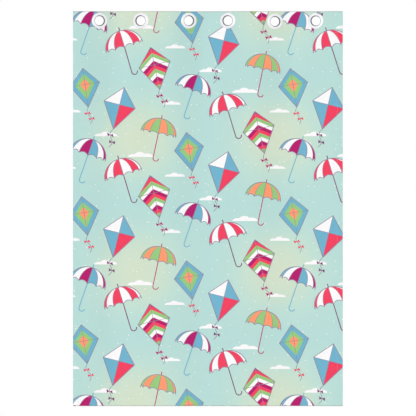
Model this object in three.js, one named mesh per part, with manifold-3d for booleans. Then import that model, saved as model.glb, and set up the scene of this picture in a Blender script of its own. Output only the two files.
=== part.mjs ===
// A printed curtain panel that hangs almost flat, with six two-part plastic eyelets.
// Millimetres, +Z up, +X to the right of someone facing the print, which looks along -Y.
// The origin is the middle of the top edge, on the plane that the shallow folds swing about.

import * as THREE from "three";
import { mergeVertices } from "three/addons/utils/BufferGeometryUtils.js";
import Module from "manifold-3d";

const wasm = await Module();
wasm.setup();

// The hung panel
const WIDTH = 1093;
const DROP = 1600;
const HEADING_DEPTH = 90; // of the band at the top, turned over to the back
const SIDE_HEM = 25;
const BOTTOM_HEM = 40;
const LAYER = 1; // the thickness of one layer of cloth
const GAP = 0.3; // the clearance between pieces that touch

// The eyelets, from the left: x from the middle of the panel, and depth below its top edge
const EYELETS = [
  { x: -439.5, depth: 37.5 },
  { x: -272.5, depth: 37.5 },
  { x: -77.5, depth: 37.5 },
  { x: 80.5, depth: 37.5 },
  { x: 272, depth: 41 },
  { x: 437.5, depth: 38.5 },
];

// The heading is made in three parts that meet at the crests of two folds. From the left:
const HEADING_PARTS = [
  { name: "left", right: -175 },
  { name: "middle", right: 176 },
  { name: "right", right: WIDTH / 2 },
];

// The cloth crosses its mean plane at each eyelet, and once more beyond each side edge.
// At the bottom edge a crossing has wandered sideways by its drift.
const CROSSINGS = [
  { x: -620, drift: 0 },
  { x: EYELETS[0].x, drift: 9 },
  { x: EYELETS[1].x, drift: -7 },
  { x: EYELETS[2].x, drift: -12 },
  { x: EYELETS[3].x, drift: 8 },
  { x: EYELETS[4].x, drift: -6 },
  { x: EYELETS[5].x, drift: 10 },
  { x: 618, drift: 0 },
];
const TOP_SLOPE = Math.tan(THREE.MathUtils.degToRad(15)); // of the cloth at an eyelet
const BOTTOM_SLOPE = Math.tan(THREE.MathUtils.degToRad(9)); // of the same folds, far below
const EYELET_FLAT = 35; // the heading is straight this far to each side of an eyelet
const FLAT_FADE = 420; // how far below the heading that straight stretch has gone

// The eyelets, each in two halves that clip together
const EYELET_RADIUS = 32.5;
const MOUTH_RADIUS = 22.4; // where the flange turns down into the bore
const BORE_RADIUS = 18.6;
const SLEEVE_RADIUS = 23.6; // outside the sleeve that goes through the cloth
const DOME_HEIGHT = 3.4; // of each flange, above the cloth
const SLEEVE_END = 1.1; // from the back of the cloth to the sleeve's end
const LIP = 1; // the thickness of the back half where it covers the sleeve's end
const EYELET_SIDES = 24;

const FRONT_FACE = LAYER / 2; // from the middle of the front layer to the print
const BACK_FACE = LAYER / 2;
const TURNED_FACE = BACK_FACE + LAYER; // where the cloth is turned over at its back

const clothMaterial = new THREE.MeshStandardMaterial({
  color: 0xbcdcd4,
  roughness: 0.9,
  metalness: 0,
});
const eyeletMaterial = new THREE.MeshStandardMaterial({
  color: 0xf2f1f4,
  roughness: 0.35,
  metalness: 0,
});

// How far the hung cloth lies from its mean plane. The folds swing to the front and to the
// back in turn, with a straight stretch around each eyelet.
function foldAt(x, z) {
  const below = THREE.MathUtils.clamp((-z - HEADING_DEPTH) / (DROP - HEADING_DEPTH), 0, 1);
  const slope = THREE.MathUtils.lerp(TOP_SLOPE, BOTTOM_SLOPE, below);
  const faded = THREE.MathUtils.smoothstep(-z, HEADING_DEPTH, HEADING_DEPTH + FLAT_FADE);
  const flat = EYELET_FLAT * (1 - faded);
  const crossings = CROSSINGS.map((crossing) => crossing.x + crossing.drift * below);
  const fold = crossings.findLastIndex((crossing) => x >= crossing);
  const width = crossings[fold + 1] - crossings[fold];
  const along = x - crossings[fold];
  const straight = Math.min(along, width - along, flat);
  const arch = width - 2 * flat;
  const risen = straight < flat ? 0 : Math.sin((Math.PI * (along - flat)) / arch);
  const side = fold % 2 === 0 ? -1 : 1;
  return side * slope * (straight + (risen * arch) / Math.PI);
}

// Values from first to last, both included, evenly apart by no more than step
function spaced(first, last, step) {
  const count = Math.ceil(Math.abs(last - first) / step);
  return Array.from({ length: count + 1 }, (_, i) => first + ((last - first) * i) / count);
}

// A closed sheet that follows the folds, over columns from left to right and rows from top to
// bottom. Its back lies backAt(x, z) behind the middle of its front layer.
function foldedSheet(columns, rows, backAt) {
  const across = columns.length;
  const layer = across * rows.length;
  const points = [];
  for (const isBack of [false, true]) {
    for (const z of rows) {
      for (const x of columns) {
        points.push(x, foldAt(x, z) + (isBack ? backAt(x, z) : -FRONT_FACE), z);
      }
    }
  }
  const faces = [];
  const quad = (a, b, c, d) => faces.push(a, b, c, a, c, d);
  const at = (column, row, back) => back * layer + row * across + column;
  const right = across - 1;
  const bottom = rows.length - 1;
  for (let j = 0; j < bottom; j++) {
    for (let i = 0; i < right; i++) {
      quad(at(i, j, 0), at(i, j + 1, 0), at(i + 1, j + 1, 0), at(i + 1, j, 0));
      quad(at(i, j, 1), at(i + 1, j, 1), at(i + 1, j + 1, 1), at(i, j + 1, 1));
    }
    quad(at(0, j, 1), at(0, j + 1, 1), at(0, j + 1, 0), at(0, j, 0));
    quad(at(right, j, 0), at(right, j + 1, 0), at(right, j + 1, 1), at(right, j, 1));
  }
  for (let i = 0; i < right; i++) {
    quad(at(i, 0, 1), at(i, 0, 0), at(i + 1, 0, 0), at(i + 1, 0, 1));
    quad(at(i, bottom, 0), at(i, bottom, 1), at(i + 1, bottom, 1), at(i + 1, bottom, 0));
  }
  const geometry = new THREE.BufferGeometry();
  geometry.setAttribute("position", new THREE.Float32BufferAttribute(points, 3));
  geometry.setIndex(faces);
  return geometry;
}

function toSolid(geometry) {
  const bare = geometry.clone();
  bare.deleteAttribute("normal");
  bare.deleteAttribute("uv");
  const merged = mergeVertices(bare, 1e-3);
  return new wasm.Manifold(
    new wasm.Mesh({
      numProp: 3,
      vertProperties: new Float32Array(merged.attributes.position.array),
      triVerts: new Uint32Array(merged.index.array),
    }),
  );
}

function toGeometry(solid) {
  const mesh = solid.getMesh();
  const geometry = new THREE.BufferGeometry();
  geometry.setAttribute("position", new THREE.BufferAttribute(mesh.vertProperties, 3));
  geometry.setIndex(new THREE.BufferAttribute(mesh.triVerts, 1));
  geometry.computeVertexNormals();
  return geometry;
}

// Moves a shape to the middle of the cloth at an eyelet and turns it so that its +Y points
// squarely out of the print there.
function placeAtEyelet(object, eyelet) {
  const z = -eyelet.depth;
  const run = 2;
  const rise = foldAt(eyelet.x + run / 2, z) - foldAt(eyelet.x - run / 2, z);
  const outOfPrint = new THREE.Vector3(rise / run, -1, 0).normalize();
  object.quaternion.setFromUnitVectors(new THREE.Vector3(0, 1, 0), outOfPrint);
  object.position.set(eyelet.x, foldAt(eyelet.x, z), z);
}

// The cloth below the heading, with its side and bottom hems turned to the back
function panel() {
  const sideHem = WIDTH / 2 - SIDE_HEM;
  const bottomHem = -DROP + BOTTOM_HEM;
  const step = 1; // the width over which the back steps up to a hem
  const columns = [
    -WIDTH / 2,
    -sideHem,
    ...spaced(-sideHem + step, sideHem - step, 13),
    sideHem,
    WIDTH / 2,
  ];
  const top = -HEADING_DEPTH - GAP;
  const flatGone = -HEADING_DEPTH - FLAT_FADE;
  const rows = [
    ...spaced(top, flatGone, 85),
    ...spaced(flatGone, bottomHem + step, 175).slice(1),
    bottomHem,
    -DROP,
  ];
  const isHem = (x, z) => Math.abs(x) >= sideHem || z <= bottomHem;
  const back = (x, z) => (isHem(x, z) ? TURNED_FACE : BACK_FACE);
  return new THREE.Mesh(foldedSheet(columns, rows, back), clothMaterial);
}

// A stretch of the band at the top, two layers thick, with a hole cut for each sleeve
function heading(left, right) {
  const columns = spaced(left, right, 11.5);
  let band = toSolid(foldedSheet(columns, [0, -HEADING_DEPTH], () => TURNED_FACE));
  const radius = SLEEVE_RADIUS + GAP;
  const cutter = new THREE.CylinderGeometry(radius, radius, 2 * radius, EYELET_SIDES);
  for (const eyelet of EYELETS.filter(({ x }) => x > left && x < right)) {
    const punch = new THREE.Object3D();
    placeAtEyelet(punch, eyelet);
    punch.updateMatrix();
    band = band.subtract(toSolid(cutter.clone().applyMatrix4(punch.matrix)));
  }
  return new THREE.Mesh(toGeometry(band), clothMaterial);
}

// An eyelet's profile is a list of [radius, height], with its height from the middle of the
// front layer towards the print. It runs anticlockwise, with the radius to the right.
function turned(profile) {
  const points = profile.map(([radius, height]) => new THREE.Vector2(radius, height));
  return new THREE.LatheGeometry([...points, points[0]], EYELET_SIDES);
}

// The rounded top of a flange from its rim to its mouth. It stands on a base height, on the
// print side if side is 1 and at the back if side is -1.
function dome(base, side) {
  const rise = side * DOME_HEIGHT;
  return [
    [EYELET_RADIUS, base],
    [EYELET_RADIUS, base + 0.27 * rise],
    [EYELET_RADIUS - 1.2, base + 0.73 * rise],
    [EYELET_RADIUS - 3.8, base + rise],
    [MOUTH_RADIUS + 2.8, base + rise],
    [MOUTH_RADIUS + 0.9, base + 0.85 * rise],
    [MOUTH_RADIUS, base + 0.6 * rise],
  ];
}

// The half that shows: a domed flange, and a sleeve that goes through the cloth
function eyeletFront() {
  const base = FRONT_FACE + GAP;
  const sleeveEnd = -TURNED_FACE - SLEEVE_END;
  return turned([
    ...dome(base, 1),
    [BORE_RADIUS + 1.3, base],
    [BORE_RADIUS, sleeveEnd],
    [SLEEVE_RADIUS, sleeveEnd],
    [SLEEVE_RADIUS, base],
  ]);
}

// The half that clips on behind the cloth and covers the sleeve's end
function eyeletBack() {
  const base = -TURNED_FACE - GAP;
  const sleeveEnd = -TURNED_FACE - SLEEVE_END - GAP;
  const profile = [
    ...dome(base, -1),
    [BORE_RADIUS, sleeveEnd - LIP],
    [BORE_RADIUS, sleeveEnd],
    [SLEEVE_RADIUS + GAP, sleeveEnd],
    [SLEEVE_RADIUS + GAP, base],
  ];
  return turned(profile.reverse());
}

const curtain = new THREE.Group();

const panelMesh = panel();
panelMesh.name = "panel";
curtain.add(panelMesh);

let left = -WIDTH / 2;
for (const part of HEADING_PARTS) {
  const mesh = heading(left, part.right);
  mesh.name = `heading_${part.name}`;
  curtain.add(mesh);
  left = part.right + GAP;
}

const halves = [
  { side: "front", geometry: eyeletFront() },
  { side: "back", geometry: eyeletBack() },
];
EYELETS.forEach((eyelet, i) => {
  const seat = new THREE.Group();
  placeAtEyelet(seat, eyelet);
  for (const half of halves) {
    const mesh = new THREE.Mesh(half.geometry, eyeletMaterial);
    mesh.name = `eyelet_${half.side}_${i + 1}`;
    seat.add(mesh);
  }
  curtain.add(seat);
});

export default curtain;
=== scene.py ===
"""A printed eyelet curtain panel: its woven cloth, its seams and its two-part plastic eyelets."""

import math
from functools import partial

import bmesh
import bpy
import numpy as np
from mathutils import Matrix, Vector


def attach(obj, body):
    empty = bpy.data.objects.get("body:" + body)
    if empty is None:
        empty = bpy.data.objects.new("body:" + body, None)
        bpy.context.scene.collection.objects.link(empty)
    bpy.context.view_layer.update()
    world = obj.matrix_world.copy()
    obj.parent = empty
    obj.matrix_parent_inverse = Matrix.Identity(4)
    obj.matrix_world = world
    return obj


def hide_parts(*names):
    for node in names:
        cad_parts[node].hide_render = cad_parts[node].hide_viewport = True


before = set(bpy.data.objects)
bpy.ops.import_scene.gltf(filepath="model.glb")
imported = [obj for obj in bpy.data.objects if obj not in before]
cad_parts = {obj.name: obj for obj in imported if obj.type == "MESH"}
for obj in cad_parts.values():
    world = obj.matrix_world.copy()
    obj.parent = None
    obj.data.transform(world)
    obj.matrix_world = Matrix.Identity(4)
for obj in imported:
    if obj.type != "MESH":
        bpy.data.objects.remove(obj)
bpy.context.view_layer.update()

MM = 0.001  # shapes are worked out in millimetres and made in metres

# The hung panel and its folds, as in the solids
WIDTH = 1093
DROP = 1600
HEADING = 90
SIDE_HEM = 25
BOTTOM_HEM = 40
EYELETS = ((-439.5, 37.5), (-272.5, 37.5), (-77.5, 37.5), (80.5, 37.5), (272, 41), (437.5, 38.5))
CROSSINGS = (
    (-620, 0),
    (-439.5, 9),
    (-272.5, -7),
    (-77.5, -12),
    (80.5, 8),
    (272, -6),
    (437.5, 10),
    (618, 0),
)
TOP_SLOPE = math.tan(math.radians(15))
BOTTOM_SLOPE = math.tan(math.radians(9))
EYELET_FLAT = 35
FLAT_FADE = 420

# The cloth
CLOTH = 0.6  # thickness of one layer
LAYER = 1.1  # from one layer to the next where the cloth is turned over
ROLL = 3.0  # how much further apart the layers are where they roll over an edge
ROLL_REACH = 6  # how far in from the edge that has gone
HEM_STEP = 12  # the width over which the heading rises over a side hem
SETTING = -0.2  # of the front layer's middle, so that the print lies on the solids' front face
SIDE_STITCH = 22  # from the panel's side edges to their stitching
BOTTOM_STITCH = 36
HEADING_STITCH = 86
STITCH_DIP = 0.2  # how deep a seam lies below the cloth around it
STITCH_PINCH = 0.4  # how much of the gap between the layers a seam takes up
SEAM_REACH = 2.2  # how far beside a seam its dip has gone
BROAD_RIPPLE, NARROW_RIPPLE = 0.8, 0.35  # the heights of the soft ripples below the heading
EDGE_SHADE_START, EDGE_SHADE_END = 1.2, 3.4  # how far in from the top and bottom edges their painted shade line fades
HOLE = 24.2  # radius of the hole behind an eyelet's flange
HOLE_ROW = 37.5  # depth of the holes in the grid, before each is moved to its eyelet
HOLE_REACH = 12  # width of the ring of cloth around a hole in which the grid turns round
LEAST_GAP = 0.1  # shorter stretches between zones of the grid get no lines of their own
BAKE_MARGIN, BAKE_WIDTH, BAKE_HEIGHT = 0.01, 0.47, 0.98  # one side's share of the bake
BAKE_HALF = 0.5  # how far to the right the other side's share lies

# The eyelets
EYELET_RADIUS = 32.5
MOUTH_RADIUS = 21.2
BORE_RADIUS = 18.6
SLEEVE_RADIUS = 23.6
DOME_HEIGHT = 3.4
FRONT_SEAT = 0.8  # the flanges' inner faces, out of the print from the middle of the front layer
BACK_SEAT = -1.8
SLEEVE_END = -2.6
CLIP_END = -2.9  # where the back half covers the sleeve's end
LIP = 1
CLIP_GAP = 0.3
BORE_SHADE_START = 0.9  # outside the mouth's radius, where the grey painted into the bore as shade begins
BORE_SHADE_FADE = 0.8
EYELET_ROUNDING = 0.8
EYELET_SEGMENTS = 72


def linear(hex_colour):
    """An sRGB hex colour as linear RGBA."""
    parts = [int(hex_colour[i : i + 2], 16) / 255 for i in (1, 3, 5)]
    return [c / 12.92 if c <= 0.04045 else ((c + 0.055) / 1.055) ** 2.4 for c in parts] + [1]


def add(tree, kind, inputs=None, **settings):
    """Adds a node with its settings, feeds its inputs, and gives its first output in use."""
    node = tree.nodes.new(kind)
    for name, value in settings.items():
        setattr(node, name, value)
    for name, value in (inputs or {}).items():
        if isinstance(value, bpy.types.NodeSocket):
            tree.links.new(value, node.inputs[name])
        else:
            node.inputs[name].default_value = value
    return next((output for output in node.outputs if output.enabled), None)


def new_group(name, kind, inputs, outputs):
    """An empty node group with these inputs and outputs, and what its inputs give."""
    tree = bpy.data.node_groups.new(name, kind)
    for direction, sockets in (("INPUT", inputs), ("OUTPUT", outputs)):
        for label, socket in sockets.items():
            tree.interface.new_socket(label, in_out=direction, socket_type="NodeSocket" + socket)
    return tree, tree.nodes.new("NodeGroupInput").outputs


def spread_colours(ramp, colours, interpolation):
    """Spreads hex colours evenly over a colour ramp, as bands (CONSTANT) or as a gradient."""
    ramp.interpolation = interpolation
    while len(ramp.elements) < len(colours):
        ramp.elements.new(1)
    last = len(colours) if interpolation == "CONSTANT" else len(colours) - 1
    for number, colour in enumerate(colours):
        ramp.elements[number].position = number / last
        ramp.elements[number].color = linear(colour)


# The printed design, in millimetres on the cut cloth: X to the right, and Y up from the top edge

INK = {
    "white": "#f8f6f7",
    "red": "#f0405f",
    "blue": "#6fb1cb",
    "orange": "#ff9a70",
    "magenta": "#b5176b",
    "green": "#96c97e",
    "plum": "#7a3a6a",
    "outline": "#8f7f9b",
}
GROUND = ("#b6dad5", "#beddd3", "#c9decc", "#d2dfc8")  # aqua to yellow-green
GLOW_PERIOD = (576, 535)  # between the middles of the yellow-green patches
GLOW_MIDDLE = (284, -517)
REPEAT = (430, 520)  # each motif comes again a width to the side and half a height down
OUTLINE = 1.1  # half the width of a drawn line

# What a motif is, what its colours follow, its place, size, tilt in degrees, colours and trim
MOTIFS = (
    ("kite", "Quarters", (66, -118), 1.2, 14, ("blue", "red", "white", "blue"), "plum"),
    ("parasol", "Gores", (84, -406), 1.35, -17, ("red", "white") * 3, "plum"),
    ("parasol", "Gores", (226, -238), 1.25, 12, ("green", "orange") * 3, "magenta"),
    ("kite", "Chevrons", (209, -476), 1.2, -13, ("magenta", "white", "green", "red"), "magenta"),
    ("kite", "Bands", (352, -296), 1.1, -9, ("orange", "green", "blue"), "red"),
    ("parasol", "Gores", (366, -64), 1.3, 19, ("blue", "white", "magenta") * 2, "blue"),
)
# The place and size of each cloud
CLOUDS = (((150, -330), 1.0), ((292, -410), 0.8), ((8, -246), 0.9), ((280, -118), 0.7))


def half_drop_place():
    """Where a point lies in a motif that repeats all over the cloth, in the motif's own frame."""
    tree, given = new_group(
        "half-drop place",
        "ShaderNodeTree",
        {"Place": "Vector", "Centre": "Vector", "Tilt": "Float", "Size": "Float"},
        {"Place": "Vector"},
    )
    put = partial(add, tree)
    width, height = REPEAT
    cell = {1: (width, height / 2, 1), 2: (-width, -height / 2, -1)}
    from_centre = put(
        "ShaderNodeVectorMath", {0: given["Place"], 1: given["Centre"]}, operation="SUBTRACT"
    )
    from_dropped = put(
        "ShaderNodeVectorMath", {0: from_centre, 1: (width, height / 2, 0)}, operation="SUBTRACT"
    )
    straight = put("ShaderNodeVectorMath", {0: from_centre, **cell}, operation="WRAP")
    dropped = put("ShaderNodeVectorMath", {0: from_dropped, **cell}, operation="WRAP")
    across = put("ShaderNodeSeparateXYZ", {0: straight})
    column = put("ShaderNodeMath", {0: across, 1: 0, 2: width / 2}, operation="COMPARE")
    nearest = put("ShaderNodeMix", {0: column, 4: dropped, 5: straight}, data_type="VECTOR")
    turned = put(
        "ShaderNodeVectorRotate",
        {"Vector": nearest, "Angle": given["Tilt"]},
        rotation_type="Z_AXIS",
    )
    grown = put("ShaderNodeVectorMath", {0: turned, 1: given["Size"]}, operation="DIVIDE")
    put("NodeGroupOutput", {"Place": grown})
    return tree


def kite_form():
    """A kite on its point, with crossed spars, a wavy tail and bows."""
    half_width, top, bottom, tail = 55, 60, 85, 64
    sway, sway_pace, bow_spacing, bow_half, bow_flare = 7, 0.1, 22, 10, 0.6
    tied_middle, tied_half, chevron, slant = -36, 20, 54, 0.7
    mean_reach = 40  # from the middle to the edges
    spar_half = OUTLINE * 0.7
    tree, given = new_group(
        "kite form",
        "ShaderNodeTree",
        {"Place": "Vector"},
        {label: "Float" for label in ("Cover", "Line", "Trim", "Quarters", "Chevrons", "Bands")},
    )
    put = partial(add, tree)
    x = put("ShaderNodeSeparateXYZ", {0: given["Place"]})
    y = x.node.outputs["Y"]
    aside = put("ShaderNodeMath", {0: x}, operation="ABSOLUTE")
    level = put("ShaderNodeMath", {0: y}, operation="ABSOLUTE")

    # 0 in the middle and 1 at the edges
    upwards = put("ShaderNodeMath", {0: y, 1: 1 / top}, operation="MULTIPLY")
    downwards = put("ShaderNodeMath", {0: y, 1: -1 / bottom}, operation="MULTIPLY")
    reach = put("ShaderNodeMath", {0: upwards, 1: downwards}, operation="MAXIMUM")
    bands = put(
        "ShaderNodeMath", {0: aside, 1: 1 / half_width, 2: reach}, operation="MULTIPLY_ADD"
    )
    cover = put("ShaderNodeMath", {0: bands, 1: 1}, operation="LESS_THAN")
    rim = put("ShaderNodeMath", {0: bands, 1: 1, 2: OUTLINE / mean_reach}, operation="COMPARE")
    spar = put("ShaderNodeMath", {0: aside, 1: level}, operation="MINIMUM")
    spar = put("ShaderNodeMath", {0: spar, 1: spar_half}, operation="LESS_THAN")
    spar = put("ShaderNodeMath", {0: spar, 1: cover}, operation="MULTIPLY")

    # The tail swings to each side of its line, and bows are tied to it at even distances
    hung = put("ShaderNodeMath", {0: y, 1: bottom}, operation="ADD")
    swing = put("ShaderNodeMath", {0: hung, 1: sway_pace}, operation="MULTIPLY")
    swing = put("ShaderNodeMath", {0: swing}, operation="SINE")
    swung = put("ShaderNodeMath", {0: swing, 1: -sway, 2: x}, operation="MULTIPLY_ADD")
    swung = put("ShaderNodeMath", {0: swung}, operation="ABSOLUTE")
    string = put("ShaderNodeMath", {0: swung, 1: OUTLINE}, operation="LESS_THAN")
    below = put("ShaderNodeMath", {0: hung, 1: -tail / 2, 2: tail / 2}, operation="COMPARE")
    string = put("ShaderNodeMath", {0: string, 1: below}, operation="MULTIPLY")
    half_spacing = bow_spacing / 2
    knot = put("ShaderNodeMath", {0: hung, 1: half_spacing, 2: -half_spacing}, operation="WRAP")
    knot = put("ShaderNodeMath", {0: knot}, operation="ABSOLUTE")
    flare = put("ShaderNodeMath", {0: swung, 1: bow_flare}, operation="MULTIPLY")
    bow = put("ShaderNodeMath", {0: knot, 1: flare}, operation="LESS_THAN")
    short = put("ShaderNodeMath", {0: swung, 1: bow_half}, operation="LESS_THAN")
    bow = put("ShaderNodeMath", {0: bow, 1: short}, operation="MULTIPLY")
    tied = put("ShaderNodeMath", {0: hung, 1: tied_middle, 2: tied_half}, operation="COMPARE")
    bow = put("ShaderNodeMath", {0: bow, 1: tied}, operation="MULTIPLY")

    # What the colours can follow. The quarters are 0.1, 0.35, 0.6 and 0.85
    right = put("ShaderNodeMath", {0: x, 1: 0}, operation="GREATER_THAN")
    upper = put("ShaderNodeMath", {0: y, 1: 0}, operation="GREATER_THAN")
    upper = put("ShaderNodeMath", {0: upper, 1: 0.5, 2: 0.1}, operation="MULTIPLY_ADD")
    quarters = put("ShaderNodeMath", {0: right, 1: 0.25, 2: upper}, operation="MULTIPLY_ADD")
    slanted = put("ShaderNodeMath", {0: aside, 1: slant, 2: y}, operation="MULTIPLY_ADD")
    chevrons = put("ShaderNodeMath", {0: slanted, 1: 1 / chevron}, operation="MULTIPLY")
    chevrons = put("ShaderNodeMath", {0: chevrons}, operation="FRACT")

    line = put("ShaderNodeMath", {0: rim, 1: spar}, operation="MAXIMUM")
    line = put("ShaderNodeMath", {0: line, 1: string}, operation="MAXIMUM")
    put(
        "NodeGroupOutput",
        {
            "Cover": cover,
            "Line": line,
            "Trim": bow,
            "Quarters": quarters,
            "Chevrons": chevrons,
            "Bands": bands,
        },
    )
    return tree


def parasol_form():
    """An open parasol from the side: scalloped gores, a ferrule, a stick and a crook."""
    half_width, height, stick, ferrule, crook = 58, 52, 78, 11, 9
    gore_count, scallop_height, rib_share = 6, 7, 0.035
    pole = OUTLINE * 1.3  # half the width of the stick
    tree, given = new_group(
        "parasol form",
        "ShaderNodeTree",
        {"Place": "Vector"},
        {label: "Float" for label in ("Cover", "Line", "Trim", "Gores")},
    )
    put = partial(add, tree)
    x = put("ShaderNodeSeparateXYZ", {0: given["Place"]})
    y = x.node.outputs["Y"]
    aside = put("ShaderNodeMath", {0: x}, operation="ABSOLUTE")

    # The canopy is half an ellipse, whose width shrinks upwards
    risen = put("ShaderNodeMath", {0: y, 1: 1 / height}, operation="MULTIPLY")
    risen = put("ShaderNodeMath", {0: risen, 1: 0}, operation="MAXIMUM")
    risen = put("ShaderNodeMath", {0: risen, 1: 2}, operation="POWER")
    width = put("ShaderNodeMath", {0: 1, 1: risen}, operation="SUBTRACT")
    width = put("ShaderNodeMath", {0: width, 1: 0.0001}, operation="MAXIMUM")
    width = put("ShaderNodeMath", {0: width}, operation="SQRT")
    share = put("ShaderNodeMath", {0: x, 1: half_width}, operation="DIVIDE")
    share = put("ShaderNodeMath", {0: share, 1: width}, operation="DIVIDE")
    inside = put("ShaderNodeMath", {0: share, 1: 0, 2: 1}, operation="COMPARE")

    # Its gores narrow towards the sides, as on a round thing
    turn = put("ShaderNodeMath", {0: share}, operation="ARCSINE")
    gores = put("ShaderNodeMath", {0: turn, 1: 1 / math.pi, 2: 0.5}, operation="MULTIPLY_ADD")
    along = put("ShaderNodeMath", {0: gores, 1: gore_count}, operation="MULTIPLY")
    along = put("ShaderNodeMath", {0: along}, operation="FRACT")
    rest = put("ShaderNodeMath", {0: 1, 1: along}, operation="SUBTRACT")
    scallop = put("ShaderNodeMath", {0: along, 1: rest}, operation="MULTIPLY")
    scallop = put("ShaderNodeMath", {0: scallop, 1: 4 * scallop_height}, operation="MULTIPLY")
    above = put("ShaderNodeMath", {0: y, 1: scallop}, operation="GREATER_THAN")
    below = put("ShaderNodeMath", {0: y, 1: height}, operation="LESS_THAN")
    inside = put("ShaderNodeMath", {0: inside, 1: below}, operation="MULTIPLY")
    cover = put("ShaderNodeMath", {0: above, 1: inside}, operation="MULTIPLY")

    # Its drawn lines: the outline, the scalloped edge and the ribs
    scaled = put(
        "ShaderNodeVectorMath",
        {0: given["Place"], 1: (1 / half_width, 1 / height, 0)},
        operation="MULTIPLY",
    )
    radial = put("ShaderNodeVectorMath", {0: scaled}, operation="LENGTH")
    rim = put("ShaderNodeMath", {0: radial, 1: 1, 2: OUTLINE / height}, operation="COMPARE")
    upper = put("ShaderNodeMath", {0: y, 1: 0}, operation="GREATER_THAN")
    rim = put("ShaderNodeMath", {0: rim, 1: upper}, operation="MULTIPLY")
    edge = put("ShaderNodeMath", {0: y, 1: scallop, 2: OUTLINE}, operation="COMPARE")
    edge = put("ShaderNodeMath", {0: edge, 1: inside}, operation="MULTIPLY")
    rib = put("ShaderNodeMath", {0: along, 1: rest}, operation="MINIMUM")
    rib = put("ShaderNodeMath", {0: rib, 1: rib_share}, operation="LESS_THAN")
    rib = put("ShaderNodeMath", {0: rib, 1: cover}, operation="MULTIPLY")

    # The stick and the ferrule, and the crook, which is the lower half of a ring
    thin = put("ShaderNodeMath", {0: aside, 1: pole}, operation="LESS_THAN")
    low = put("ShaderNodeMath", {0: y, 1: -stick / 2, 2: stick / 2}, operation="COMPARE")
    tip = height + ferrule / 2
    high = put("ShaderNodeMath", {0: y, 1: tip, 2: ferrule / 2}, operation="COMPARE")
    reach = put("ShaderNodeMath", {0: low, 1: high}, operation="ADD")
    trim = put("ShaderNodeMath", {0: thin, 1: reach}, operation="MULTIPLY")
    bend = put(
        "ShaderNodeVectorMath", {0: given["Place"], 1: (crook, -stick, 0)}, operation="DISTANCE"
    )
    bend = put("ShaderNodeMath", {0: bend, 1: crook, 2: pole}, operation="COMPARE")
    under = put("ShaderNodeMath", {0: y, 1: -stick}, operation="LESS_THAN")
    bend = put("ShaderNodeMath", {0: bend, 1: under}, operation="MULTIPLY")

    line = put("ShaderNodeMath", {0: rim, 1: edge}, operation="MAXIMUM")
    line = put("ShaderNodeMath", {0: line, 1: rib}, operation="MAXIMUM")
    trim = put("ShaderNodeMath", {0: trim, 1: bend}, operation="MAXIMUM")
    put("NodeGroupOutput", {"Cover": cover, "Line": line, "Trim": trim, "Gores": gores})
    return tree


def cloud_form():
    """A small cloud of three puffs with a flat foot."""
    puffs = ((0, 24, 21), (-27, 22, 12), (29, 26, 14))  # x of the middle, half width and height
    tree, given = new_group(
        "cloud form", "ShaderNodeTree", {"Place": "Vector"}, {"Cover": "Float"}
    )
    put = partial(add, tree)
    nearest = 2.0
    for x, half_width, height in puffs:
        scaled = put(
            "ShaderNodeVectorMath",
            {0: given["Place"], 1: (1 / half_width, 1 / height, 0), 2: (-x / half_width, 0, 0)},
            operation="MULTIPLY_ADD",
        )
        puff = put("ShaderNodeVectorMath", {0: scaled}, operation="LENGTH")
        nearest = put("ShaderNodeMath", {0: puff, 1: nearest}, operation="MINIMUM")
    cover = put("ShaderNodeMath", {0: nearest, 1: 1}, operation="LESS_THAN")
    y = put("ShaderNodeSeparateXYZ", {0: given["Place"]}).node.outputs["Y"]
    above = put("ShaderNodeMath", {0: y, 1: 0}, operation="GREATER_THAN")
    cover = put("ShaderNodeMath", {0: cover, 1: above}, operation="MULTIPLY")
    put("NodeGroupOutput", {"Cover": cover})
    return tree


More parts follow.
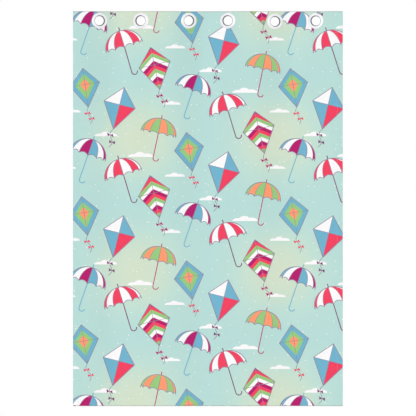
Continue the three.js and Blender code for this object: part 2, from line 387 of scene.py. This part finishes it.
def printed_design():
    """The whole print: from a place on the cut cloth to a colour."""
    tree, given = new_group(
        "printed design", "ShaderNodeTree", {"Place": "Vector"}, {"Colour": "Color"}
    )
    put = partial(add, tree)
    half_drop = half_drop_place()
    forms = {"kite": kite_form(), "parasol": parasol_form()}
    cloud = cloud_form()

    # The ground: yellow-green patches on aqua, that fade into each other
    x = put("ShaderNodeSeparateXYZ", {0: given["Place"]})
    glow = 1.0
    for place, period, middle in zip((x, x.node.outputs["Y"]), GLOW_PERIOD, GLOW_MIDDLE):
        pace = 2 * math.pi / period
        wave = put(
            "ShaderNodeMath", {0: place, 1: pace, 2: -middle * pace}, operation="MULTIPLY_ADD"
        )
        wave = put("ShaderNodeMath", {0: wave}, operation="COSINE")
        wave = put("ShaderNodeMath", {0: wave, 1: 0.5, 2: 0.5}, operation="MULTIPLY_ADD")
        glow = put("ShaderNodeMath", {0: wave, 1: glow}, operation="MULTIPLY")
    colour = put("ShaderNodeValToRGB", {0: glow})
    spread_colours(colour.node.color_ramp, GROUND, "LINEAR")

    # Small pale dots, about one in each square
    square, radius, strength = 60, 2.4, 0.75
    spots = put(
        "ShaderNodeTexVoronoi",
        {"Vector": given["Place"], "Scale": 1 / square},
        voronoi_dimensions="2D",
    )
    spots = put("ShaderNodeMath", {0: spots, 1: radius / square}, operation="LESS_THAN")
    spots = put("ShaderNodeMath", {0: spots, 1: strength}, operation="MULTIPLY")
    colour = put("ShaderNodeMix", {0: spots, 6: colour, 7: linear(INK["white"])}, data_type="RGBA")

    for centre, size in CLOUDS:
        place = put(
            "ShaderNodeGroup",
            {"Place": given["Place"], "Centre": (*centre, 0), "Tilt": 0, "Size": size},
            node_tree=half_drop,
        )
        cover = put("ShaderNodeGroup", {"Place": place}, node_tree=cloud)
        colour = put(
            "ShaderNodeMix", {0: cover, 6: colour, 7: linear(INK["white"])}, data_type="RGBA"
        )

    for form, follows, centre, size, tilt, inks, trim in MOTIFS:
        place = put(
            "ShaderNodeGroup",
            {
                "Place": given["Place"],
                "Centre": (*centre, 0),
                "Tilt": math.radians(tilt),
                "Size": size,
            },
            node_tree=half_drop,
        )
        drawn = put("ShaderNodeGroup", {"Place": place}, node_tree=forms[form]).node.outputs
        fill = put("ShaderNodeValToRGB", {0: drawn[follows]})
        spread_colours(fill.node.color_ramp, [INK[ink] for ink in inks], "CONSTANT")
        coats = (("Trim", linear(INK[trim])), ("Cover", fill), ("Line", linear(INK["outline"])))
        for coat, ink in coats:
            colour = put("ShaderNodeMix", {0: drawn[coat], 6: colour, 7: ink}, data_type="RGBA")
    put("NodeGroupOutput", {"Colour": colour})
    return tree


# Materials


def new_material(name):
    """A material with no nodes in it yet, and its tree."""
    material = bpy.data.materials.new(name)
    material.use_nodes = True
    material.node_tree.nodes.clear()
    return material, material.node_tree


def cloth_material(name, design, showing):
    """Plain-woven polyester, matte with a faint bloom. showing is how much of the print is seen."""
    yarn = 0.9  # mm between yarns, three times as coarse as the real ones so that they show at all
    yarn_rise = 0.06
    slub_length, slub_width, slub_rise = 45, 1.6, 0.8
    slub_low, slub_high, darker, lighter = 0.6, 1.4, 0.975, 1.025
    unprinted, edge_shade_colour, edge_shade_share = linear("#eef2ef"), linear("#8d8a7c"), 0.45
    material, tree = new_material(name)
    put = partial(add, tree)
    cut = put("ShaderNodeUVMap", uv_map="cut")
    place = put("ShaderNodeVectorMath", {0: cut, "Scale": 1 / MM}, operation="SCALE")
    printed = put("ShaderNodeGroup", {"Place": place}, node_tree=design)
    printed = put("ShaderNodeMix", {0: showing, 6: unprinted, 7: printed}, data_type="RGBA")

    # Painted shade along the folded top and bottom edges: the cloth is darker and warmer there,
    # where the roll turns away from the light
    from_top = put("ShaderNodeSeparateXYZ", {0: place}).node.outputs["Y"]
    from_bottom = put("ShaderNodeMath", {0: from_top, 1: DROP}, operation="ADD")
    from_bottom = put("ShaderNodeMath", {0: from_bottom}, operation="ABSOLUTE")
    from_top = put("ShaderNodeMath", {0: from_top}, operation="ABSOLUTE")
    painted_edge_shade = put("ShaderNodeMath", {0: from_top, 1: from_bottom}, operation="MINIMUM")
    painted_edge_shade = put(
        "ShaderNodeMapRange",
        {0: painted_edge_shade, 1: EDGE_SHADE_START, 2: EDGE_SHADE_END, 3: edge_shade_share, 4: 0},
        interpolation_type="SMOOTHSTEP",
    )
    printed = put("ShaderNodeMix", {0: painted_edge_shade, 6: printed, 7: edge_shade_colour}, data_type="RGBA")

    # Slubs: yarns that run a little thicker and darker for a few centimetres, both ways
    slub = 0.0
    for stretch in ((1 / slub_length, 1 / slub_width, 1), (1 / slub_width, 1 / slub_length, 1)):
        along = put("ShaderNodeVectorMath", {0: place, 1: stretch}, operation="MULTIPLY")
        thread = put("ShaderNodeTexNoise", {"Vector": along, "Scale": 1, "Detail": 1})
        slub = put("ShaderNodeMath", {0: thread, 1: slub}, operation="ADD")
    shade = put(
        "ShaderNodeMapRange", {0: slub, 1: slub_low, 2: slub_high, 3: darker, 4: lighter}
    )
    shaded = put("ShaderNodeVectorMath", {0: printed, "Scale": shade}, operation="SCALE")

    # Each yarn goes over one and under the next
    turns = put("ShaderNodeVectorMath", {0: place, "Scale": math.pi / yarn}, operation="SCALE")
    waves = put("ShaderNodeVectorMath", {0: turns}, operation="SINE")
    wave = put("ShaderNodeSeparateXYZ", {0: waves})
    weave = put("ShaderNodeMath", {0: wave, 1: wave.node.outputs["Y"]}, operation="MULTIPLY")
    weave = put("ShaderNodeMath", {0: slub, 1: slub_rise, 2: weave}, operation="MULTIPLY_ADD")
    bump = put("ShaderNodeBump", {"Height": weave, "Strength": 0.5, "Distance": yarn_rise * MM})
    surface = put(
        "ShaderNodeBsdfPrincipled",
        {
            "Base Color": shaded,
            "Roughness": 0.85,
            "IOR": 1.5,
            "Specular IOR Level": 0.25,
            "Sheen Weight": 0.12,
            "Sheen Roughness": 0.5,
            "Normal": bump,
        },
    )
    put("ShaderNodeOutputMaterial", {"Surface": surface})
    return material


def thread_material():
    """Spun polyester sewing thread, two plies twisted together: matte with tiny highlights."""
    ply_turn, ply_rise = 1.2, 0.05
    material, tree = new_material("spun polyester thread")
    put = partial(add, tree)
    place = put("ShaderNodeTexCoord").node.outputs["Object"]
    twist = put(
        "ShaderNodeTexWave", {"Vector": place, "Scale": 1 / (ply_turn * MM), "Distortion": 1}
    )
    tint = put("ShaderNodeValToRGB", {0: twist})
    spread_colours(tint.node.color_ramp, ("#a9cfc9", "#c6e0da"), "LINEAR")
    bump = put("ShaderNodeBump", {"Height": twist, "Strength": 0.4, "Distance": ply_rise * MM})
    surface = put(
        "ShaderNodeBsdfPrincipled",
        {"Base Color": tint, "Roughness": 0.6, "Sheen Weight": 0.1, "Normal": bump},
    )
    put("ShaderNodeOutputMaterial", {"Surface": surface})
    return material


def eyelet_material():
    """Injection-moulded ABS: white with a cold cast and sharp highlights, and grey painted into the
    bore as shade.

    The bore is also a little duller, and its painted shade shows as a dark line around each hole.
    """
    # The soft sinks of a moulded face, the wiping marks on it, how much duller the bore is, and the
    # grey painted into the bore as shade
    sink_width, sink_depth, wipe_width = 9, 0.08, 2.5
    polished, wiped_dull, bore_dull, bore_shade_grey = 0.14, 0.26, 0.25, linear("#5a5a60")
    material, tree = new_material("glossy white ABS")
    put = partial(add, tree)
    place = put("ShaderNodeTexCoord").node.outputs["Object"]
    sink = put("ShaderNodeTexNoise", {"Vector": place, "Scale": 1 / (sink_width * MM), "Detail": 1})
    tint = put("ShaderNodeValToRGB", {0: sink})
    spread_colours(tint.node.color_ramp, ("#f0eff4", "#f5f4f8"), "LINEAR")
    # Painted shade: the bore is tinted dark grey to stand in for the shade inside the hole, and is
    # made a little duller
    painted_bore_shade = put("ShaderNodeAttribute", attribute_name="painted_bore_shade").node.outputs["Fac"]
    tint = put("ShaderNodeMix", {0: painted_bore_shade, 6: tint, 7: bore_shade_grey}, data_type="RGBA")
    wiped = put(
        "ShaderNodeTexNoise", {"Vector": place, "Scale": 1 / (wipe_width * MM), "Detail": 4}
    )
    gloss = put("ShaderNodeMapRange", {0: wiped, 3: polished, 4: wiped_dull})
    gloss = put("ShaderNodeMath", {0: painted_bore_shade, 1: bore_dull, 2: gloss}, operation="MULTIPLY_ADD")
    bump = put("ShaderNodeBump", {"Height": sink, "Strength": 0.3, "Distance": sink_depth * MM})
    surface = put(
        "ShaderNodeBsdfPrincipled",
        {"Base Color": tint, "Roughness": gloss, "IOR": 1.53, "Normal": bump},
    )
    put("ShaderNodeOutputMaterial", {"Surface": surface})
    return material


def floor_material():
    """Pale matte studio floor."""
    material, tree = new_material("matte studio floor")
    put = partial(add, tree)
    place = put("ShaderNodeTexCoord").node.outputs["Object"]
    cloudy = put("ShaderNodeTexNoise", {"Vector": place, "Scale": 2, "Detail": 3})
    tint = put("ShaderNodeValToRGB", {0: cloudy})
    spread_colours(tint.node.color_ramp, ("#ececec", "#f2f2f1"), "LINEAR")
    surface = put("ShaderNodeBsdfPrincipled", {"Base Color": tint, "Roughness": 0.7})
    put("ShaderNodeOutputMaterial", {"Surface": surface})
    return material


# The shape of the hung cloth


def smooth(value):
    """0 up to 0, 1 from 1 on, and an even curve between."""
    value = np.clip(value, 0, 1)
    return value * value * (3 - 2 * value)


def fold(x, z):
    """How far the cloth lies behind its mean plane: the solids' folds, and soft ripples."""
    below = np.clip((-z - HEADING) / (DROP - HEADING), 0, 1)
    slope = TOP_SLOPE + (BOTTOM_SLOPE - TOP_SLOPE) * below
    faded = smooth((-z - HEADING) / FLAT_FADE)
    flat = EYELET_FLAT * (1 - faded)
    height = np.zeros(np.broadcast(x, z).shape)
    for number, (start, end) in enumerate(zip(CROSSINGS, CROSSINGS[1:])):
        left = start[0] + start[1] * below
        width = end[0] + end[1] * below - left
        along = x - left
        straight = np.minimum(np.minimum(along, width - along), flat)
        arch = width - 2 * flat
        bow = np.sin(np.pi * (along - flat) / arch) * arch / np.pi
        risen = straight + np.where(straight < flat, 0, bow)
        side = -1 if number % 2 == 0 else 1
        height = np.where((along >= 0) & (along < width), side * slope * risen, height)

    # The ripples run down the cloth and wander from side to side. The narrow ones slant as well
    broad_pace, broad_wander, broad_stretch = 31, 0.9, 260
    narrow_pace, narrow_wander, narrow_stretch, slant = 18, 0.7, 190, 900
    broad = np.sin(x / broad_pace + broad_wander * np.sin(z / broad_stretch + 1))
    wander = narrow_wander * np.sin(z / narrow_stretch)
    narrow = np.sin(x / narrow_pace + wander + z / slant)
    return height + faded * (BROAD_RIPPLE * broad + NARROW_RIPPLE * narrow)


def backwards(x, z):
    """The unit vector square to the cloth, towards its back, in the last axis of the array."""
    run = 0.5
    across = (fold(x + run, z) - fold(x - run, z)) / (2 * run)
    down = (fold(x, z + run) - fold(x, z - run)) / (2 * run)
    normal = np.stack([-across, np.ones_like(across), -down], axis=-1)
    return normal / np.linalg.norm(normal, axis=-1, keepdims=True)


def on_cloth(x, depth, layer):
    """The point in metres at x and depth, and layer millimetres behind the front layer."""
    middle = np.stack([x, fold(x, -depth), -depth], axis=-1)
    return (middle + backwards(x, -depth) * (SETTING + layer)[..., None]) * MM


def turned_edge(past, layers, inner):
    """Cloth that turns over at an edge. past is measured along the cut, from the edge.

    Gives how far it lies in from the edge, and how far the turn has gone, from 0 to 1. layers is
    the distance from the first layer to the last, and inner that of a layer turned inside it.
    """
    half = layers / 2
    angle = np.clip(past / half, -1, 1) * math.pi / 2
    inset = half - (half - inner) * np.cos(angle) + np.maximum(np.abs(past) - half, 0)
    return inset, (1 + np.sin(angle)) / 2


def beside(distance, reach):
    """1 on a line, falling to 0 beside it."""
    return np.exp(-((distance / reach) ** 2))


def hang(across, down):
    """Where a point of the cut cloth hangs, as x, depth below the top edge, and layer.

    across is measured from the middle, and goes on past the side edges into the side hems. down
    is measured from the top edge. It is negative in the turned-over heading, and goes on past
    the bottom edge into the bottom hem.
    """
    side_in, side_turn = turned_edge(np.abs(across) - WIDTH / 2, LAYER, 0)
    x = np.sign(across) * (WIDTH / 2 - side_in)
    in_hem = LAYER * side_turn
    over_hem = 2 * LAYER * smooth((np.abs(x) - WIDTH / 2 + SIDE_HEM) / HEM_STEP + 1)
    past = np.where(down < DROP / 2, -down, down - DROP)
    layers = LAYER + over_hem + ROLL * beside(past, ROLL_REACH)
    inset, turn = turned_edge(past, layers, in_hem)
    depth = np.where(down < DROP / 2, inset, DROP - inset)
    layer = in_hem + (layers - 2 * in_hem) * turn
    seams = (
        WIDTH / 2 - np.abs(x) - SIDE_STITCH,
        depth - HEADING_STITCH,
        DROP - depth - BOTTOM_STITCH,
    )
    seam = np.max([beside(distance, SEAM_REACH) for distance in seams], axis=0)
    return x, depth, layer + seam * (STITCH_DIP - STITCH_PINCH * layer)


def spread(start, end, step):
    """Even positions from start up to end, about a step apart, and without the end."""
    return list(np.linspace(start, end, max(1, round((end - start) / step)), endpoint=False))


def stations(start, end, step, zones):
    """Grid lines a step apart, and closer in each zone, given as its start, end and step."""
    lines = []
    for zone_start, zone_end, fine in sorted(zones):
        if zone_start - start > LEAST_GAP:
            lines += spread(start, zone_start, step)
        lines += spread(zone_start, zone_end, fine)
        start = zone_end
    if end - start > LEAST_GAP:
        lines += spread(start, end, step)
    return np.array(lines + [end])


def cloth_grid():
    """Columns and rows of the cut cloth: closer at turned edges, seams and eyelets."""
    edge, hole_step, column_step, row_step = WIDTH / 2, HOLE / 6, 9, 15
    columns = []
    for x, _ in EYELETS:
        columns += [(x - HOLE - HOLE_REACH, x - HOLE, hole_step), (x - HOLE, x + HOLE, hole_step)]
        columns += [(x + HOLE, x + HOLE + HOLE_REACH, hole_step)]
    for middle, reach, step in (
        (edge - SIDE_STITCH, 3, 1.5),
        (edge, 0.8, 0.4),
        (edge + SIDE_STITCH, 3, 1.5),
    ):
        columns += [(side * middle - reach, side * middle + reach, step) for side in (-1, 1)]
    ring = [HOLE_ROW - HOLE - HOLE_REACH, HOLE_ROW - HOLE, HOLE_ROW + HOLE]
    ring += [HOLE_ROW + HOLE + HOLE_REACH]
    rows = []
    for side in (-1, 1):
        for zone in zip(ring, ring[1:]):
            rows.append((*sorted(side * depth for depth in zone), hole_step))
    for middle, reach, step in (
        (-HEADING_STITCH, 4, 2),
        (0, 1.3, 0.4),
        (HEADING_STITCH, 4, 2),
        (DROP - BOTTOM_STITCH, 4, 2),
        (DROP, 2.8, 0.4),
        (DROP + BOTTOM_STITCH, 4, 2),
    ):
        rows.append((middle - reach, middle + reach, step))
    side_end, bottom_end = edge + SIDE_HEM, DROP + BOTTOM_HEM
    return (
        stations(-side_end, side_end, column_step, columns),
        stations(-HEADING, bottom_end, row_step, rows),
    )


def round_holes(across, down):
    """Turns the grid's square rings around each eyelet into circles about the eyelet."""
    depth = np.abs(down)
    for x, eyelet_depth in EYELETS:
        dx, dz = across - x, depth - HOLE_ROW
        square = np.maximum(np.abs(dx), np.abs(dz))
        blend = 1 - smooth((square - HOLE) / HOLE_REACH)
        squeeze = 1 + blend * (square / np.maximum(np.hypot(dx, dz), 1e-6) - 1)
        moved = HOLE_ROW + dz * squeeze + (eyelet_depth - HOLE_ROW) * blend
        here = square < HOLE + HOLE_REACH
        across = np.where(here, x + dx * squeeze, across)
        depth = np.where(here, moved, depth)
    return across, np.where(down < 0, -depth, depth)


def along_folds(x, depth):
    """The distances from the middle to each x, measured along the folds at one depth."""
    fine = np.linspace(-WIDTH / 2, WIDTH / 2, WIDTH + 1)
    steps = np.hypot(np.diff(fine), np.diff(fold(fine, np.full(fine.shape, -depth))))
    lengths = np.append(0, steps.cumsum())
    return np.interp(x, fine, lengths - np.interp(0, fine, lengths))


def finish_mesh(piece):
    """Smooth shading, but for edges sharper than 40 degrees."""
    piece.data.polygons.foreach_set("use_smooth", [True] * len(piece.data.polygons))
    piece.data.set_sharp_from_angle(angle=math.radians(40))


def mesh_piece(name, points, faces, *materials, edges=()):
    """An object in the scene, made of points in metres."""
    mesh = bpy.data.meshes.new(name)
    mesh.from_pydata([tuple(point) for point in points], edges, faces)
    for material in materials:
        mesh.materials.append(material)
    piece = bpy.data.objects.new(name, mesh)
    bpy.context.scene.collection.objects.link(piece)
    return piece


def apply_modifiers(piece):
    """Makes what the modifiers give the piece's own mesh."""
    graph = bpy.context.evaluated_depsgraph_get()
    made = bpy.data.meshes.new_from_object(
        piece.evaluated_get(graph), preserve_all_data_layers=True, depsgraph=graph
    )
    made.name = piece.name
    piece.modifiers.clear()
    piece.data = made


def lay_out(cloth, cut, share):
    """Adds the maps of the cut cloth and of the bake. Both sides of the cloth share them."""
    corners = np.empty(len(cloth.data.loops), dtype=np.int32)
    cloth.data.loops.foreach_get("vertex_index", corners)
    for name, flat in (("cut", cut), ("OFBake", share)):
        cloth.data.uv_layers.new(name=name).data.foreach_set("uv", flat[corners].ravel())


def cloth_faces(columns, rows):
    """The grid's squares, but for those in the holes."""
    faces = []
    for row, height in enumerate(np.abs(rows[:-1] + rows[1:]) / 2):
        level = abs(height - HOLE_ROW) < HOLE
        for column, middle in enumerate((columns[:-1] + columns[1:]) / 2):
            if level and any(abs(middle - eyelet) < HOLE for eyelet, _ in EYELETS):
                continue
            corner = row * len(columns) + column
            below = corner + len(columns)
            faces.append((corner, below, below + 1, corner + 1))
    return faces


def cut_map(across, down, depth):
    """Where each point of the grid lies on the cut cloth, in metres."""
    within = np.clip(across, -WIDTH / 2, WIDTH / 2)
    hung = np.median(depth, axis=1)
    cut_x = np.array([along_folds(row, level) for row, level in zip(within, hung)])
    return np.stack([cut_x + across - within, -down], axis=-1).reshape(-1, 2) * MM


def bake_map(across, down, columns, rows):
    """Where each point of the grid lies in the print side's share of the bake."""
    share_x = (across - columns[0]) / (columns[-1] - columns[0])
    share_y = (down - rows[0]) / (rows[-1] - rows[0])
    left = BAKE_MARGIN + BAKE_WIDTH * share_x
    bottom = 1 - BAKE_MARGIN - BAKE_HEIGHT * share_y
    return np.stack([left, bottom], axis=-1).reshape(-1, 2)


def thicken(cloth):
    """Gives the sheet its thickness. The second material is on its reverse and its cut edges."""
    thick = cloth.modifiers.new("thickness", "SOLIDIFY")
    thick.thickness = CLOTH * MM
    thick.offset = 0
    thick.material_offset = 1
    thick.material_offset_rim = 1
    apply_modifiers(cloth)
    trimmed = bmesh.new()
    trimmed.from_mesh(cloth.data)
    unused = [vertex for vertex in trimmed.verts if not vertex.link_faces]
    bmesh.ops.delete(trimmed, geom=unused, context="VERTS")
    trimmed.to_mesh(cloth.data)
    trimmed.free()

    # The reverse takes the other half of the bake
    baked = cloth.data.uv_layers["OFBake"].data
    for face in cloth.data.polygons:
        if face.material_index == 1:
            for corner in face.loop_indices:
                baked[corner].uv.x += BAKE_HALF


def make_cloth(print_side, reverse):
    """One sheet, with its heading and hems turned over to the back and a hole for each eyelet."""
    columns, rows = cloth_grid()
    across, down = round_holes(*np.meshgrid(columns, rows))
    x, depth, layer = hang(across, down)
    points = on_cloth(x, depth, layer).reshape(-1, 3)
    faces = cloth_faces(columns, rows)
    cloth = mesh_piece("curtain_cloth", points, faces, print_side, reverse)
    lay_out(cloth, cut_map(across, down, depth), bake_map(across, down, columns, rows))
    thicken(cloth)
    finish_mesh(cloth)
    return cloth


# Sewing


def lockstitch_tree():
    """Stitches along a seam: short thick bits of thread, a pitch apart, each a little askew."""
    tree, given = new_group(
        "lockstitch",
        "GeometryNodeTree",
        {
            "Seam": "Geometry",
            "Stitch pitch": "Float",
            "Stitch length": "Float",
            "Thread radius": "Float",
            "Askew": "Float",
            "Seed": "Int",
            "Thread": "Material",
        },
        {"Stitches": "Geometry"},
    )
    put = partial(add, tree)
    seam = put("GeometryNodeMeshToCurve", {"Mesh": given["Seam"]})
    points = put(
        "GeometryNodeCurveToPoints", {"Curve": seam, "Length": given["Stitch pitch"]}, mode="LENGTH"
    )
    askew = put("ShaderNodeMath", {0: given["Askew"], 1: -1}, operation="MULTIPLY")
    low = put("ShaderNodeCombineXYZ", {0: askew, 1: askew})
    high = put("ShaderNodeCombineXYZ", {0: given["Askew"], 1: given["Askew"]})
    tilt = put(
        "FunctionNodeRandomValue",
        {"Min": low, "Max": high, "Seed": given["Seed"]},
        data_type="FLOAT_VECTOR",
    )
    tilt = put("FunctionNodeEulerToRotation", {"Euler": tilt})
    turn = put(
        "FunctionNodeRotateRotation",
        {0: points.node.outputs["Rotation"], 1: tilt},
        rotation_space="LOCAL",
    )
    bead = put("GeometryNodeMeshUVSphere", {"Segments": 6, "Rings": 4, "Radius": 1})
    bead = put("GeometryNodeSetShadeSmooth", {"Geometry": bead})
    half = put("ShaderNodeMath", {0: given["Stitch length"], 1: 0.5}, operation="MULTIPLY")
    size = put(
        "ShaderNodeCombineXYZ", {0: given["Thread radius"], 1: given["Thread radius"], 2: half}
    )
    stitches = put(
        "GeometryNodeInstanceOnPoints",
        {"Points": points, "Instance": bead, "Rotation": turn, "Scale": size},
    )
    stitches = put("GeometryNodeRealizeInstances", {"Geometry": stitches})
    stitches = put("GeometryNodeSetMaterial", {"Geometry": stitches, "Material": given["Thread"]})
    put("NodeGroupOutput", {"Stitches": stitches})
    return tree


def seam_lines():
    """The seams, as arrays of across and down on the cut cloth, each as seen from both sides."""
    edge, side_inset, level_step = WIDTH / 2, 4, 8
    end_inset, upright_step = 3, 10.0
    level = np.arange(-edge + side_inset, edge - side_inset, level_step)
    whole = np.arange(end_inset, DROP - end_inset, upright_step)
    hem_top = DROP - BOTTOM_HEM
    between = np.arange(HEADING + end_inset, hem_top - end_inset, upright_step)
    lines = []
    for side in (-1, 1):
        lines.append((np.full(whole.shape, side * (edge - SIDE_STITCH)), whole))
        lines.append((np.full(between.shape, side * (edge + SIDE_STITCH)), between))
    for down in (HEADING_STITCH, DROP - BOTTOM_STITCH, -HEADING_STITCH, DROP + BOTTOM_STITCH):
        lines.append((level, np.full(level.shape, float(down))))
    return lines


def make_stitches(thread):
    """The seams of the hems and the heading, with a row of thread on each side of the cloth."""
    thread_radius = 0.28
    proud = 0.3  # how far outside the cloth the thread's middle lies, as a share of its radius
    points, edges = [], []
    for across, down in seam_lines():
        x, depth, layer = hang(across, down)
        turned = (np.abs(across) > WIDTH / 2) | (down < 0) | (down > DROP)
        outside = np.where(turned, 1, -1) * (CLOTH / 2 + proud * thread_radius)
        start = len(points)
        points += list(on_cloth(x, depth, layer + outside))
        edges += [(i, i + 1) for i in range(start, len(points) - 1)]
    stitches = mesh_piece("seam_stitches", points, [], edges=edges)
    sewing = stitches.modifiers.new("sewing", "NODES")
    sewing.node_group = lockstitch_tree()
    sizes = {
        "Stitch pitch": 3.6 * MM,
        "Stitch length": 3.1 * MM,
        "Thread radius": thread_radius * MM,
        "Askew": math.radians(4),
        "Seed": 7,
        "Thread": thread,
    }
    for item in sewing.node_group.interface.items_tree:
        if item.name in sizes:
            sewing[item.identifier] = sizes[item.name]
    apply_modifiers(stitches)
    return stitches


# Eyelets


def dome(seat, side):
    """The outside of a flange, from its rim to its mouth, as radius and height."""
    rise = side * DOME_HEIGHT
    return [
        (EYELET_RADIUS, seat),
        (EYELET_RADIUS, seat + 0.27 * rise),
        (EYELET_RADIUS - 1.2, seat + 0.73 * rise),
        (EYELET_RADIUS - 3.8, seat + rise),
        (MOUTH_RADIUS + 1.8, seat + rise),
        (MOUTH_RADIUS + 0.5, seat + 0.95 * rise),
        (MOUTH_RADIUS, seat + 0.8 * rise),
    ]


def front_profile():
    """A flange, a bore that narrows to the back, and the outside of the sleeve."""
    return dome(FRONT_SEAT, 1) + [
        (BORE_RADIUS, SLEEVE_END),
        (SLEEVE_RADIUS, SLEEVE_END),
        (SLEEVE_RADIUS, FRONT_SEAT),
    ]


def back_profile():
    """A flange whose lip covers the sleeve's end, with room for the sleeve."""
    return dome(BACK_SEAT, -1) + [
        (BORE_RADIUS, CLIP_END - LIP),
        (BORE_RADIUS, CLIP_END),
        (SLEEVE_RADIUS + CLIP_GAP, CLIP_END),
        (SLEEVE_RADIUS + CLIP_GAP, BACK_SEAT),
    ]


def rounded(profile, radius, steps=3):
    """A closed profile with each corner rounded off, by less where its sides are short."""
    longest = 0.45  # of a side, at each of its ends
    corners = [Vector(point) for point in profile]
    points = []
    for before, corner, after in zip(corners[-1:] + corners, corners, corners[1:] + corners[:1]):
        into, out = before - corner, after - corner
        start = corner + into * min(radius / into.length, longest)
        end = corner + out * min(radius / out.length, longest)
        for step in range(steps):
            share = step / (steps - 1)
            points.append(start.lerp(corner, share).lerp(corner.lerp(end, share), share))
    return points


def make_eyelet_half(name, profile, eyelet, material):
    """Turns a profile about the eyelet's axis, which is square to the cloth there."""
    x, depth = eyelet
    out = -Vector(backwards(x, -depth))
    up = Vector((0, 0, 1))
    aside = up.cross(out)
    centre = Vector((x, float(fold(x, -depth)), -depth))
    turns = [2 * math.pi * i / EYELET_SEGMENTS for i in range(EYELET_SEGMENTS)]
    points = [
        (centre + (aside * math.cos(turn) + up * math.sin(turn)) * radius + out * height) * MM
        for turn in turns
        for radius, height in profile
    ]
    count = len(profile)
    faces = []
    for i in range(EYELET_SEGMENTS):
        start, following = i * count, (i + 1) % EYELET_SEGMENTS * count
        for j in range(count):
            k = (j + 1) % count
            faces.append((start + j, following + j, following + k, start + k))
    half = mesh_piece(name, points, faces, material)
    # Where the bore's painted shade, and its extra dullness, lie: from just outside the mouth
    # inwards
    painted_bore_shade = [smooth((MOUTH_RADIUS + BORE_SHADE_START - radius) / BORE_SHADE_FADE) for radius, _ in profile]
    half.data.attributes.new("painted_bore_shade", "FLOAT", "POINT").data.foreach_set(
        "value", painted_bore_shade * EYELET_SEGMENTS
    )
    ring = bmesh.new()
    ring.from_mesh(half.data)
    bmesh.ops.recalc_face_normals(ring, faces=ring.faces)
    ring.to_mesh(half.data)
    ring.free()
    finish_mesh(half)
    return half


def make_eyelets(plastic):
    """The six eyelets, each a half in front, and a half behind that clips to its sleeve."""
    halves = {}
    for number, eyelet in enumerate(EYELETS, 1):
        for side, profile in (("front", front_profile()), ("back", back_profile())):
            node = f"eyelet_{side}_{number}"
            soft = rounded(profile, EYELET_ROUNDING)
            halves[node] = make_eyelet_half(f"moulded_{node}", soft, eyelet, plastic)
    return halves


# The studio


def make_camera():
    """Square on to the print, from far away, framed as the photo is."""
    lens, sensor = 1000, 36
    view_width, view_x, view_z = 1686.9, 0.4, -797.2
    data = bpy.data.cameras.new("camera")
    data.lens = lens
    data.sensor_width = sensor
    data.clip_end = 100
    camera = bpy.data.objects.new("camera", data)
    camera.location = Vector((view_x, -view_width * lens / sensor, view_z)) * MM
    camera.rotation_euler = (math.radians(90), 0, 0)
    bpy.context.scene.collection.objects.link(camera)
    bpy.context.scene.camera = camera


def make_surroundings():
    """White to the camera. As light, a dim room with a softbox in front and one behind."""
    # The way to each, the angles from it at which its fading starts and ends, and its brightness
    softboxes = (((0, -1, 0.06), 18, 32, 3.15), ((0, 1, 0.1), 18, 32, 3.0))
    world = bpy.data.worlds.new("studio")
    world.use_nodes = True
    tree = world.node_tree
    tree.nodes.clear()
    put = partial(add, tree)
    towards = put("ShaderNodeTexCoord").node.outputs["Generated"]
    glow = 0.12
    for axis, full, faint, brightness in softboxes:
        facing = put("ShaderNodeVectorMath", {0: towards, 1: axis}, operation="DOT_PRODUCT")
        full, faint = (math.cos(math.radians(angle)) for angle in (full, faint))
        box = put(
            "ShaderNodeMapRange",
            {0: facing, 1: faint, 2: full, 3: 0, 4: brightness},
            interpolation_type="SMOOTHSTEP",
        )
        glow = put("ShaderNodeMath", {0: box, 1: glow}, operation="ADD")
    light = put("ShaderNodeBackground", {"Color": (1, 1, 1, 1), "Strength": glow})
    white = put("ShaderNodeBackground", {"Color": (1, 1, 1, 1), "Strength": 1})
    seen = put("ShaderNodeLightPath")
    shown = put("ShaderNodeMixShader", {0: seen, 1: light, 2: white})
    put("ShaderNodeOutputWorld", {"Surface": shown})
    bpy.context.scene.world = world


def make_key_light():
    """A lamp beside the camera, to its left: soft shadows to the right of the eyelets."""
    data = bpy.data.lights.new("key light", "SUN")
    data.energy = 1.0
    data.angle = math.radians(20)
    lamp = bpy.data.objects.new("key light", data)
    towards = Vector((-0.2, -0.97, 0.1))
    lamp.rotation_euler = towards.to_track_quat("Z", "Y").to_euler()
    bpy.context.scene.collection.objects.link(lamp)


def make_floor():
    """A pale floor under the curtain, which neither shades the cloth nor sends light back to it."""
    half, level = 1600, -1900
    corners = [(-half, -half), (half, -half), (half, half), (-half, half)]
    points = [Vector((x, y, level)) * MM for x, y in corners]
    floor = mesh_piece("studio_floor", points, [(0, 1, 2, 3)], floor_material())
    floor.visible_diffuse = floor.visible_glossy = floor.visible_shadow = False
    return floor


def make_floor_light(floor):
    """A lamp overhead that lights the floor alone, with the curtain's soft shadow on it."""
    data = bpy.data.lights.new("floor light", "SUN")
    data.energy = 2.2
    data.angle = math.radians(12)
    lamp = bpy.data.objects.new("floor light", data)
    bpy.context.scene.collection.objects.link(lamp)
    lit = bpy.data.collections.new("lit from overhead")
    lit.objects.link(floor)
    lamp.light_linking.receiver_collection = lit


make_camera()
make_surroundings()
make_key_light()
studio_floor = make_floor()
make_floor_light(studio_floor)
bpy.context.scene.view_settings.view_transform = "Standard"

design = printed_design()
print_side = cloth_material("printed woven polyester", design, 1.0)
reverse = cloth_material("reverse of the printed polyester", design, 0.4)
cloth = make_cloth(print_side, reverse)
stitches = make_stitches(thread_material())
eyelets = make_eyelets(eyelet_material())

for node, half in eyelets.items():
    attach(half, "root")
    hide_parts(node)
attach(stitches, "root")
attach(cloth, "root")
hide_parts("panel", "heading_left", "heading_middle", "heading_right")
cut_width = 2 * (along_folds(WIDTH / 2, DROP / 2) + SIDE_HEM)
